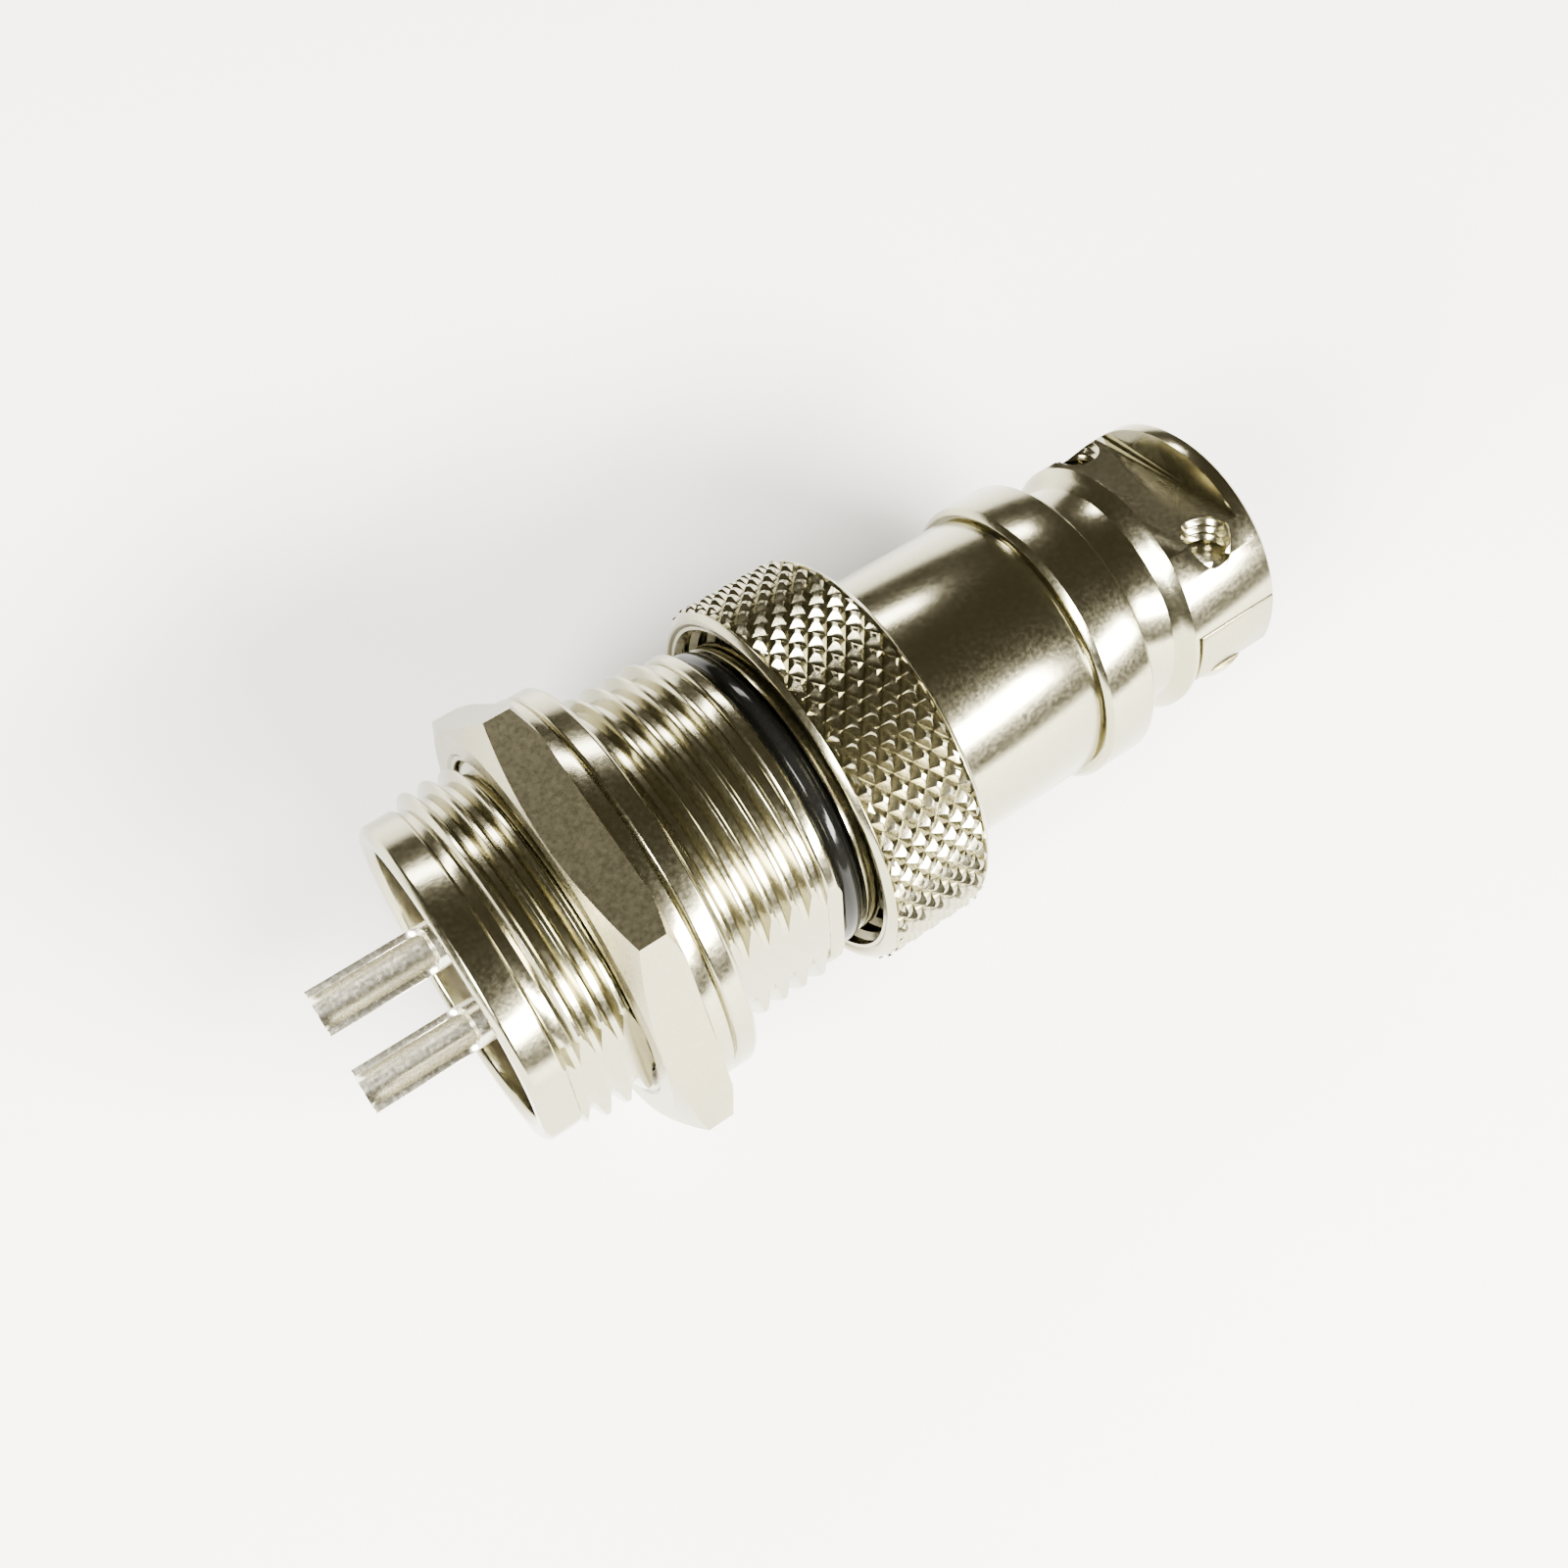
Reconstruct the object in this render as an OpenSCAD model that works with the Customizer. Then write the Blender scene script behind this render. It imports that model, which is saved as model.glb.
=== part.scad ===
// Threaded two-contact circular connector: a panel receptacle with its nut and
// washer, and a cable plug with a knurled coupling ring and a cable clamp.
// The axis of the connector is X. X = 0 is the rear face of the panel flange,
// the solder cups point to -X and the cable leaves at +X. +Z is up.

/* [Receptacle shell] */
// Diameter of the panel thread and of the mating thread
thread_d = 16; // [15.5:0.1:17]
// Length of the shell behind the panel flange
rear_l = 8; // [7.6:0.1:10]
// Length of the plain ring at the rear end
rear_rim_l = 1.6; // [1.4:0.1:2.5]
// Diameter of the plain ring at the rear end
rear_rim_d = 15.2; // [15:0.1:15.4]
// Diameter of the panel flange
flange_d = 18.6; // [17.4:0.1:18.8]
// Thickness of the panel flange
flange_t = 1.2; // [0.8:0.1:2]
// Length of the mating thread in front of the flange
front_l = 5.8; // [5.4:0.1:7]
// Diameter of the bore that takes the insert, behind the ledge
rear_bore_d = 13.1; // [12.8:0.1:13.4]
// Thickness of the ledge that the insert stops on
ledge_t = 1.2; // [0.8:0.1:2]
// Width of the ledge
ledge_w = 0.7; // [0.5:0.1:0.9]
// Depth of the flat milled along both threads
flat_depth = 0.75; // [0.4:0.05:0.9]
// Direction of the milled flat, from +Z towards -Y
flat_turn = 75; // [40:1:90]

/* [Panel nut and washer] */
// Size of the nut across its flats
nut_af = 19; // [18.5:0.1:21]
// Thickness of the nut
nut_t = 2.3; // [2:0.1:3]
// Outer diameter of the washer
washer_d = 18.7; // [17.8:0.1:18.8]
// Thickness of the washer
washer_t = 0.8; // [0.5:0.1:1]

/* [Contacts] */
// Distance between the two contacts
contact_gap = 4.6; // [4.2:0.1:5]
// Direction of the first contact, from +Z towards +Y
contact_turn = 36; // [0:1:90]
// Direction that the open side of the solder cups faces, from +Z towards -Y
cup_turn = 17; // [0:1:60]
// Diameter of the contact pin
pin_d = 2; // [1.6:0.1:2.2]
// Length of the pin in front of its insert
pin_l = 7.2; // [6:0.1:7.6]
// Outer diameter of a solder cup
cup_d = 2.1; // [1.8:0.1:2.3]
// Height of the edges of a solder cup above its middle
cup_lip = 0.15; // [0:0.05:0.3]
// Wall of a solder cup
cup_wall = 0.3; // [0.2:0.05:0.4]
// Length of the open trough of a solder cup
cup_l = 5.2; // [4:0.1:7]
// Length of the solid stem between collar and trough
cup_stem = 1.2; // [0.8:0.1:2]
// Diameter of the collar that seats each contact on its insert
collar_d = 3; // [2.6:0.1:3.2]
// Thickness of the collar of each contact
collar_t = 0.6; // [0.4:0.1:0.7]
// Outer diameter of a contact socket
socket_d = 3; // [2.8:0.1:3.2]

/* [Inserts and their rings] */
// Length of the receptacle insert behind the ledge
pin_insert_l = 4.9; // [4:0.1:5]
// Thickness of the split rings that hold the inserts
split_ring_t = 0.6; // [0.5:0.05:0.7]
// Width of a split ring, from its inner to its outer edge
split_ring_w = 0.95; // [0.8:0.05:1.1]
// Opening of the split rings
split_opening = 1.6; // [1:0.1:3]
// Depth that a split ring sits in its groove
split_depth = 0.3; // [0.2:0.05:0.35]

/* [Plug sleeve] */
// Outer diameter of the sleeve that enters the receptacle
sleeve_d = 13; // [12.8:0.1:13.2]
// Wall of the sleeve
sleeve_wall = 1; // [0.8:0.05:1.1]
// Depth that the sleeve enters the receptacle
plug_depth = 4.8; // [4:0.1:5.4]
// Length of the lip at the open end of the sleeve
lip_l = 0.6; // [0.4:0.1:1]
// Diameter of the shoulder that draws the plug home
shoulder_d = 14.4; // [14.2:0.1:14.6]
// Thickness of the shoulder
shoulder_t = 0.7; // [0.6:0.1:1]
// Wall of the neck that the coupling ring slides on
neck_wall = 0.55; // [0.4:0.05:0.6]
// Width of the polarising key
key_w = 1.8; // [1.2:0.1:2.4]
// Height of the polarising key above the bore
key_h = 0.45; // [0.3:0.05:0.55]
// Distance that the key ends short of the front rim
key_back = 2; // [1:0.1:3]
// Direction of the polarising key, from +Z towards +Y
key_turn = 150; // [100:1:200]
// Thickness of the sealing ring
seal_t = 1.3; // [1:0.1:1.6]
// Outer diameter of the sealing ring
seal_d = 14.7; // [14.4:0.1:14.8]

/* [Coupling ring] */
// Outer diameter of the coupling ring over the knurl
ring_d = 18; // [17.8:0.1:19]
// Length of the coupling ring
ring_l = 5.4; // [5.2:0.1:6]
// Number of knurl points around the ring
knurl_around = 50; // [40:1:60]
// Number of knurl rows along the ring
knurl_rows = 11; // [7:2:13]
// Depth of the knurl
knurl_depth = 0.3; // [0.2:0.05:0.4]
// Length of the plain band at each end of the ring
ring_edge = 0.3; // [0.2:0.05:0.4]
// Depth of the plain bands below the knurl points
ring_drop = 0.2; // [0.1:0.05:0.3]
// Length of the ring behind its snap ring
ring_cover = 0.5; // [0.4:0.1:1]
// Radial gap between the ring and the barrel
ring_gap = 0.15; // [0.1:0.05:0.3]
// Way that the ring can slide forward to engage the receptacle
ring_travel = 3.7; // [3:0.1:4]
// Depth that the snap ring sits in the coupling ring
snap_hold = 0.25; // [0.15:0.05:0.3]
// Thickness of the snap ring inside the coupling ring
snap_t = 0.6; // [0.5:0.05:0.7]

/* [Back shell] */
// Diameter of the barrel
barrel_d = 13.3; // [13.2:0.1:13.6]
// Wall of the barrel over the neck
barrel_wall = 0.55; // [0.4:0.05:0.7]
// Length of the barrel, up to the collar
barrel_l = 8.4; // [7:0.1:10]
// Diameter of the collar
shell_collar_d = 14.2; // [13.8:0.1:15]
// Length of the collar
shell_collar_l = 2.8; // [2:0.1:4]
// Width of the groove between barrel and collar
groove_w = 0.25; // [0.15:0.05:0.5]
// Depth of the groove between barrel and collar
groove_depth = 0.25; // [0.15:0.05:0.35]
// Length of the sleeve thread inside the barrel
joint_l = 4; // [3:0.1:5]
// Diameter of the waist between collar and clamp
waist_d = 11.4; // [11:0.1:12]
// Length of the waist
waist_l = 3; // [2:0.1:4]
// Diameter of the clamp head
head_d = 12.8; // [12.4:0.1:13.4]
// Length of the clamp head
head_l = 5; // [4.6:0.1:6]
// Diameter of the cable channel
cable_d = 5; // [4:0.1:5.2]

/* [Cable clamp] */
// Direction of the clamp screws, from +Z towards +Y
clamp_turn = 24; // [0:1:40]
// Distance between the two clamp screws
screw_gap = 8.6; // [8.4:0.1:8.8]
// Diameter of the clamp screw thread
screw_d = 2.2; // [2:0.1:2.4]
// Diameter of the domed head of a clamp screw
screw_head_d = 3.7; // [3.4:0.1:3.8]
// Height of the domed head of a clamp screw
screw_head_h = 1.4; // [1.2:0.1:1.8]
// Width of the driver slot
slot_w = 0.6; // [0.4:0.05:0.8]
// Depth of the driver slot
slot_depth = 0.7; // [0.4:0.05:0.9]
// Height of the parting plane above the axis
split_h = 0.9; // [0.6:0.1:1.2]
// Open gap at the parting plane
split_gap = 0.2; // [0.1:0.05:0.6]
// Height of the saddle at the screws
saddle_t = 2.9; // [2.4:0.1:3.2]
// Wall of the saddle under the cable
saddle_wall = 0.75; // [0.5:0.05:0.8]
// Distance of the milled flat from the axis
head_flat = 4.9; // [4.6:0.1:5.2]
// Width of the rim behind the milled flat
end_rim = 0.9; // [0.6:0.1:1.4]
// Radius of the rounded lower side of the saddle
saddle_round = 6.3; // [6:0.1:6.6]

/* [Fits] */
// Radial clearance of a piece that turns or slides
play = 0.08; // [0.05:0.01:0.1]
// Radial clearance of a piece that is seated for good
seat = 0.01; // [0.01:0.01:0.03]
// Chamfer on turned edges
chamfer = 0.25; // [0.1:0.05:0.35]

/* [Hidden] */
$fn = 96;
eps = 0.01;

thread_r = thread_d / 2;
rear_bore_r = rear_bore_d / 2;
sleeve_r = sleeve_d / 2;
front_bore_r = sleeve_r + play;
front_x = flange_t + front_l;
ledge_r = rear_bore_r - ledge_w;

pin_insert_x = -ledge_t;
pin_insert_back = pin_insert_x - pin_insert_l;

sleeve_x = front_x - plug_depth;
shoulder_x = front_x + seal_t;
neck_x = shoulder_x + shoulder_t;
plug_insert_x = sleeve_x + lip_l;
plug_insert_end = shoulder_x;
plug_bore_r = sleeve_r - sleeve_wall;
neck_r = barrel_d / 2 - barrel_wall;
neck_bore_r = neck_r - neck_wall;

snap_x = neck_x + ring_travel;
barrel_x = snap_x + snap_t;
ring_x = barrel_x + ring_cover - ring_l;
ring_end = ring_x + ring_l;
snap_in_r = neck_r + play;
snap_out_r = thread_r + play + snap_hold;

collar_x = barrel_x + barrel_l;
waist_x = collar_x + groove_w + shell_collar_l;
head_x = waist_x + waist_l;
end_x = head_x + head_l;
screw_x = (head_x + end_x - end_rim) / 2 + 0.3;
saddle_x = head_x + 0.5;
saddle_l = end_x - saddle_x - 0.1;
saddle_top = split_h - split_gap;
saddle_low = saddle_top - saddle_t;

// Turns its children about X, from +Z towards +Y.
module turned(angle) {
    rotate([-angle, 0, 0]) children();
}

// Solid of revolution about X, from an outline of [x, radius] points.
module lathe(outline) {
    rotate([0, 90, 0])
        rotate_extrude()
            polygon([for (p = outline) [p[1], p[0]]]);
}

// Straight round rod along X.
module rod(x0, x1, r) {
    translate([x0, 0, 0]) rotate([0, 90, 0]) cylinder(h = x1 - x0, r = r);
}

// Flat ring with a gap in it, like a circlip.
module split_ring(x0, t, r_in, r_out) {
    difference() {
        rod(x0, x0 + t, r_out);
        rod(x0 - eps, x0 + t + eps, r_in);
        translate([x0 - eps, -split_opening / 2, 0])
            cube([t + 2 * eps, split_opening, r_out + 1]);
    }
}

// ---- receptacle ----

module receptacle_shell() {
    r = thread_r;
    c = chamfer;
    rim_r = rear_rim_d / 2;
    front_rim_r = r - 0.25;
    groove_x = pin_insert_back - split_ring_t;
    color("lightgray")
    union() {
        difference() {
            lathe([[-rear_l, rear_bore_r + c], [-rear_l, rim_r - c], [-rear_l + c, rim_r],
                   [-rear_l + rear_rim_l, rim_r], [-rear_l + rear_rim_l + r - rim_r, r],
                   [0, r], [0, flange_d / 2 - c], [c, flange_d / 2],
                   [flange_t - c, flange_d / 2], [flange_t, flange_d / 2 - c], [flange_t, r],
                   [front_x - 0.8, r], [front_x - 0.8 + 0.25, front_rim_r],
                   [front_x - c, front_rim_r], [front_x, front_rim_r - c],
                   [front_x, front_bore_r + c], [front_x - c, front_bore_r],
                   [0, front_bore_r], [0, ledge_r], [-ledge_t, ledge_r],
                   [-ledge_t, rear_bore_r], [-rear_l + c, rear_bore_r]]);
            // flat along both threads, and none on the flange
            for (span = [[-rear_l - 1, 0], [flange_t, front_x + 1]])
                turned(-flat_turn)
                    translate([span[0], -r, r - flat_depth])
                        cube([span[1] - span[0], 2 * r, flange_d]);
            // groove of the split ring
            rod(groove_x, pin_insert_back, rear_bore_r + split_depth);
        }
        turned(key_turn) intersection() {
            translate([0, -key_w / 2, front_bore_r - key_h])
                cube([front_x - key_back, key_w, 2 * key_h]);
            rod(-1, front_x, front_bore_r + key_h);
        }
    }
}

module receptacle_insert() {
    color([0.16, 0.13, 0.11])
    difference() {
        lathe([[pin_insert_back, 0], [pin_insert_back, rear_bore_r - seat],
               [pin_insert_x, rear_bore_r - seat], [pin_insert_x, ledge_r - seat],
               [0, ledge_r - seat], [0, 0]]);
        contact_places() rod(pin_insert_back - 1, 1, pin_d / 2 + seat);
    }
}

module receptacle_split_ring() {
    color("silver")
    turned(200)
        split_ring(pin_insert_back - split_ring_t, split_ring_t,
                   rear_bore_r + split_depth - seat - split_ring_w,
                   rear_bore_r + split_depth - seat);
}

// Puts a child at both contacts.
module contact_places() {
    for (side = [0, 180]) contact_place(side) children();
}

module contact_place(side) {
    turned(contact_turn + side)
        translate([0, 0, contact_gap / 2])
            turned(-contact_turn - side)
                children();
}

// Solder cup on a solid stem, from x0 towards -X, with its open side at +Z.
module solder_cup(x0) {
    r = cup_d / 2;
    scoop_r = r * 0.8;
    trough_x = x0 - cup_stem;
    tip_x = trough_x - cup_l;
    difference() {
        rod(tip_x, x0 + collar_t / 2, r);
        rod(tip_x - 1, trough_x, r - cup_wall);
        translate([tip_x - 1, -r - 1, cup_lip])
            cube([cup_l + 1 - scoop_r, cup_d + 2, cup_d]);
        translate([trough_x - scoop_r, 0, cup_lip + scoop_r])
            rotate([90, 0, 0]) cylinder(h = cup_d + 2, r = scoop_r, center = true);
        translate([tip_x - 1, -r - 1, cup_lip + scoop_r])
            cube([cup_l + 1, cup_d + 2, cup_d]);
    }
}

module pin(side) {
    back = pin_insert_back - collar_t;
    color("silver")
    contact_place(side) {
        turned(-cup_turn) solder_cup(back);
        rod(back, pin_insert_back, collar_d / 2);
        lathe([[pin_insert_back, 0], [pin_insert_back, pin_d / 2],
               [pin_l - pin_d / 4, pin_d / 2], [pin_l, pin_d / 4], [pin_l, 0]]);
    }
}

module upper_pin() {
    pin(0);
}

module lower_pin() {
    pin(180);
}

// ---- panel fixing ----

module panel_washer() {
    color("lightgray")
    difference() {
        lathe([[-washer_t, 0], [-washer_t, washer_d / 2 - chamfer],
               [-washer_t + chamfer, washer_d / 2], [0, washer_d / 2], [0, 0]]);
        rod(-washer_t - 1, 1, thread_r + play);
    }
}

module panel_nut() {
    x1 = -washer_t;
    x0 = x1 - nut_t;
    corner_r = nut_af / 2 / cos(30);
    color("lightgray")
    difference() {
        intersection() {
            translate([x0, 0, 0]) rotate([0, 90, 0]) rotate([0, 0, 30])
                cylinder(h = nut_t, r = corner_r, $fn = 6);
            lathe([[x0, 0], [x0, nut_af / 2 - 0.1], [x0 + 0.7, corner_r],
                   [x1 - 0.4, corner_r], [x1, corner_r - 0.7], [x1, 0]]);
        }
        lathe([[x0 - 1, 0], [x0 - 1, thread_r + play + chamfer], [x0, thread_r + play + chamfer],
               [x0 + chamfer, thread_r + play], [x1 - chamfer, thread_r + play],
               [x1, thread_r + play + chamfer], [x1 + 1, thread_r + play + chamfer], [x1 + 1, 0]]);
    }
}

// ---- plug front ----

module plug_sleeve() {
    thread_end = barrel_x + joint_l;
    color("lightgray")
    difference() {
        lathe([[sleeve_x, plug_bore_r - 0.5], [sleeve_x, sleeve_r - chamfer],
               [sleeve_x + chamfer, sleeve_r], [shoulder_x, sleeve_r],
               [shoulder_x, shoulder_d / 2], [neck_x, shoulder_d / 2], [neck_x, neck_r],
               [thread_end, neck_r], [thread_end, neck_bore_r], [neck_x, neck_bore_r],
               [neck_x, plug_bore_r],
               [plug_insert_x, plug_bore_r], [plug_insert_x, plug_bore_r - 0.5]]);
        turned(key_turn)
            translate([sleeve_x - 1, -key_w / 2 - play, front_bore_r - key_h - play])
                cube([front_x - sleeve_x + 1, key_w + 2 * play, 2]);
        rod(plug_insert_end, plug_insert_end + split_ring_t, plug_bore_r + split_depth);
    }
}

module plug_insert() {
    color([0.16, 0.13, 0.11])
    difference() {
        rod(plug_insert_x, plug_insert_end, plug_bore_r - seat);
        contact_places() rod(plug_insert_x - 1, plug_insert_end + 1, socket_d / 2 + seat);
    }
}

module plug_split_ring() {
    color("silver")
    turned(40)
        split_ring(plug_insert_end, split_ring_t,
                   plug_bore_r + split_depth - seat - split_ring_w,
                   plug_bore_r + split_depth - seat);
}

module socket(side) {
    tail = plug_insert_end + collar_t;
    color("silver")
    contact_place(side) {
        difference() {
            union() {
                rod(plug_insert_x, plug_insert_end, socket_d / 2);
                rod(plug_insert_end, tail, socket_d / 2 + 0.35);
            }
            rod(plug_insert_x - 1, pin_l + 0.5, pin_d / 2 + play);
        }
        mirror([1, 0, 0]) turned(-cup_turn) solder_cup(-tail);
    }
}

module upper_socket() {
    socket(0);
}

module lower_socket() {
    socket(180);
}

module sealing_ring() {
    r_in = sleeve_r + seat;
    edge = seal_t / 3;
    color([0.05, 0.05, 0.05])
    lathe([[front_x, r_in], [front_x, seal_d / 2 - edge], [front_x + edge, seal_d / 2],
           [shoulder_x - edge, seal_d / 2], [shoulder_x, seal_d / 2 - edge], [shoulder_x, r_in]]);
}

// ---- coupling ring ----

module coupling_snap_ring() {
    color("silver")
    turned(120) split_ring(snap_x, snap_t, snap_in_r, snap_out_r);
}

// Band of diamond points around X, as one closed mesh.
module knurled_band(x0, x1, r, depth, around, rows) {
    step_x = (x1 - x0) / rows;
    step_a = 180 / around;
    n = 2 * around;
    grid = [for (j = [0:rows], i = [0:n - 1])
        let (peak = (i + j) % 2 == 0, q = peak ? r : r - depth)
            [x0 + j * step_x, q * cos(i * step_a), q * sin(i * step_a)]];
    points = concat(grid, [[x0, 0, 0], [x1, 0, 0]]);
    low = len(grid);
    high = low + 1;
    side = [for (j = [0:rows - 1], i = [0:n - 1], half = [0, 1])
        let (a = j * n + i, b = j * n + (i + 1) % n, c = a + n, d = b + n,
             peak = (i + j) % 2 == 0)
            peak ? (half == 0 ? [a, b, c] : [b, d, c])
                 : (half == 0 ? [a, b, d] : [a, d, c])];
    ends = [for (i = [0:n - 1], half = [0, 1])
        half == 0 ? [low, (i + 1) % n, i]
                  : [high, rows * n + i, rows * n + (i + 1) % n]];
    polyhedron(points = points, faces = [for (f = concat(side, ends)) [f[0], f[2], f[1]]]);
}

module coupling_ring() {
    r = ring_d / 2;
    r_end = r - ring_drop;
    bore_r = thread_r + play;
    rear_r = barrel_d / 2 + ring_gap;
    color("lightgray")
    difference() {
        union() {
            knurled_band(ring_x + ring_edge, ring_end - ring_edge, r, knurl_depth,
                         knurl_around, knurl_rows);
            lathe([[ring_x, 0], [ring_x, r_end - chamfer], [ring_x + chamfer, r_end],
                   [ring_x + ring_edge, r_end], [ring_x + ring_edge, 0]]);
            lathe([[ring_end - ring_edge, 0], [ring_end - ring_edge, r_end],
                   [ring_end - chamfer, r_end], [ring_end, r_end - chamfer], [ring_end, 0]]);
        }
        lathe([[ring_x - 1, 0], [ring_x - 1, bore_r + chamfer], [ring_x, bore_r + chamfer],
               [ring_x + chamfer, bore_r], [snap_x, bore_r], [snap_x, snap_out_r + play],
               [snap_x + snap_t, snap_out_r + play], [snap_x + snap_t, rear_r],
               [ring_end + 1, rear_r], [ring_end + 1, 0]]);
    }
}

// ---- back shell and clamp ----

module back_shell() {
    c = chamfer;
    joint_r = neck_r + seat;
    hollow_r = joint_r - 0.5;
    joint_end = barrel_x + joint_l;
    r_head = head_d / 2;
    flare = (head_d - waist_d) / 2;
    color("lightgray")
    difference() {
        lathe([[barrel_x, joint_r], [barrel_x, barrel_d / 2 - c], [barrel_x + c, barrel_d / 2],
               [collar_x, barrel_d / 2], [collar_x, barrel_d / 2 - groove_depth],
               [collar_x + groove_w, barrel_d / 2 - groove_depth],
               [collar_x + groove_w, shell_collar_d / 2 - c],
               [collar_x + groove_w + c, shell_collar_d / 2],
               [waist_x - c, shell_collar_d / 2], [waist_x, shell_collar_d / 2 - c],
               [waist_x, waist_d / 2], [head_x - flare, waist_d / 2], [head_x, r_head],
               [end_x - c, r_head], [end_x, r_head - c], [end_x, cable_d / 2 + c],
               [end_x - c, cable_d / 2], [waist_x + 1, cable_d / 2],
               [collar_x + 1, hollow_r], [joint_end, hollow_r], [joint_end, joint_r]]);
        turned(clamp_turn) {
            // room for the saddle
            translate([saddle_x - 0.3, -head_d, -head_d])
                cube([head_l + 1, 2 * head_d, head_d + split_h]);
            // milled flat with the rim left behind it
            translate([head_x, -head_d, head_flat])
                cube([head_l - end_rim, 2 * head_d, head_d]);
            // tapped holes
            for (s = [-1, 1])
                translate([screw_x, s * screw_gap / 2, 0])
                    cylinder(h = head_d, r = screw_d / 2 + play);
        }
    }
}

module cable_clamp() {
    strap_r = cable_d / 2 + saddle_wall;
    color("lightgray")
    turned(clamp_turn)
        difference() {
            union() {
                intersection() {
                    translate([saddle_x, -head_d / 2, saddle_low])
                        cube([saddle_l, head_d, saddle_t]);
                    rod(saddle_x, saddle_x + saddle_l, saddle_round);
                }
                difference() {
                    rod(saddle_x, saddle_x + saddle_l, strap_r);
                    translate([saddle_x - 1, -head_d, saddle_top - eps])
                        cube([saddle_l + 2, 2 * head_d, head_d]);
                }
            }
            rod(head_x, end_x + 1, cable_d / 2);
            for (s = [-1, 1])
                translate([screw_x, s * screw_gap / 2, -head_d])
                    cylinder(h = 2 * head_d, r = screw_d / 2 + play);
        }
}

module clamp_screw(side) {
    tip = head_flat - 1.6;
    r = screw_head_d / 2;
    dome_r = (r * r + screw_head_h * screw_head_h) / (2 * screw_head_h);
    color("silver")
    turned(clamp_turn)
        translate([screw_x, side * screw_gap / 2, 0]) {
            translate([0, 0, saddle_low]) cylinder(h = tip - saddle_low, r = screw_d / 2);
            difference() {
                intersection() {
                    translate([0, 0, saddle_low - screw_head_h + dome_r]) sphere(r = dome_r);
                    translate([0, 0, saddle_low - screw_head_h])
                        cylinder(h = screw_head_h, r = r);
                }
                translate([-r - 1, -slot_w / 2, saddle_low - screw_head_h - 1])
                    cube([2 * r + 2, slot_w, 1 + slot_depth]);
            }
        }
}

module near_clamp_screw() {
    clamp_screw(-1);
}

module far_clamp_screw() {
    clamp_screw(1);
}

receptacle_shell();
receptacle_insert();
receptacle_split_ring();
upper_pin();
lower_pin();
panel_washer();
panel_nut();
plug_sleeve();
plug_insert();
plug_split_ring();
upper_socket();
lower_socket();
sealing_ring();
coupling_snap_ring();
coupling_ring();
back_shell();
cable_clamp();
near_clamp_screw();
far_clamp_screw();
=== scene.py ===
"""Dresses the two-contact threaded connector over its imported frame."""

import math

import bmesh
import bpy
from mathutils import Matrix, Vector


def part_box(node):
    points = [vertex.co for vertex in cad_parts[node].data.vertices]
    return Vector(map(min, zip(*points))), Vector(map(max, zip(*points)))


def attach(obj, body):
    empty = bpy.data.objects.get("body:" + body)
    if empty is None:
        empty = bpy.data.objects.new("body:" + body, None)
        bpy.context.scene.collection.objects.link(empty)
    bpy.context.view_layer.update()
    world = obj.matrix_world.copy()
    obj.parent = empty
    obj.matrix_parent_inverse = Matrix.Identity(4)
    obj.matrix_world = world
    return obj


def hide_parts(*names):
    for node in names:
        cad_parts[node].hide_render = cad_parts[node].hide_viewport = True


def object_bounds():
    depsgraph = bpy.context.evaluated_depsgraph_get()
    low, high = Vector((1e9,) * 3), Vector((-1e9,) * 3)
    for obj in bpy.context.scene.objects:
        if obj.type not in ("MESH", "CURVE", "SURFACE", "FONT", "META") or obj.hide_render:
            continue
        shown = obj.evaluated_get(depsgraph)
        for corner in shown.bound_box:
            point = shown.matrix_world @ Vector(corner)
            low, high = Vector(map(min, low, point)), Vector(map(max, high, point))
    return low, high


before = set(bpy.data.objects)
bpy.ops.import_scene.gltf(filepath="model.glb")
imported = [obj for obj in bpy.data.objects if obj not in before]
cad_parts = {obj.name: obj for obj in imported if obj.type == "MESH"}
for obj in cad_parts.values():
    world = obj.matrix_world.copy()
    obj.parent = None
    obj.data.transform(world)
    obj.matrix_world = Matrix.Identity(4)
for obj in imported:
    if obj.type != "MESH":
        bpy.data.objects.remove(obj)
cad_low, cad_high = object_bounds()

MM = 0.001
STEPS = 128  # facets round a turned piece
MERGE = 1e-4
PITCH = 1.0  # of both large threads
SCREW_PITCH = 0.45


# ---- sizes taken from the frame, in millimetres ----


def span(node):
    """First and last x of a node, and its largest reach from the axis in y or z."""
    low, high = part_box(node)
    reach = max(-low.y, high.y, -low.z, high.z)
    return low.x / MM, high.x / MM, reach / MM


SHELL_REAR, SHELL_FRONT, FLANGE_R = span("receptacle_shell")
INSERT_REAR, INSERT_FRONT, _ = span("receptacle_insert")
WASHER_REAR, WASHER_FRONT, WASHER_R = span("panel_washer")
NUT_REAR, NUT_FRONT, NUT_CORNER_R = span("panel_nut")
SEAL_REAR, SEAL_FRONT, SEAL_R = span("sealing_ring")
RING_REAR, RING_FRONT, RING_R = span("coupling_ring")
SNAP_REAR, SNAP_FRONT, SNAP_R = span("coupling_snap_ring")
SLEEVE_REAR, SLEEVE_FRONT, _ = span("plug_sleeve")
BACK_REAR, BACK_FRONT, COLLAR_R = span("back_shell")

THREAD_R = 8.0
ROOT_R = 7.42
FRONT_RIM_R = 7.75
FLAT_FROM_AXIS = 7.25
FLAT_TURN = math.radians(75)  # from +Z towards -Y
FLANGE_T = 1.2


# ---- modelling by hand ----


def clear_selection():
    active = bpy.context.object
    if active and active.mode != "OBJECT":
        bpy.ops.object.mode_set(mode="OBJECT")
    bpy.ops.object.select_all(action="DESELECT")


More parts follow.
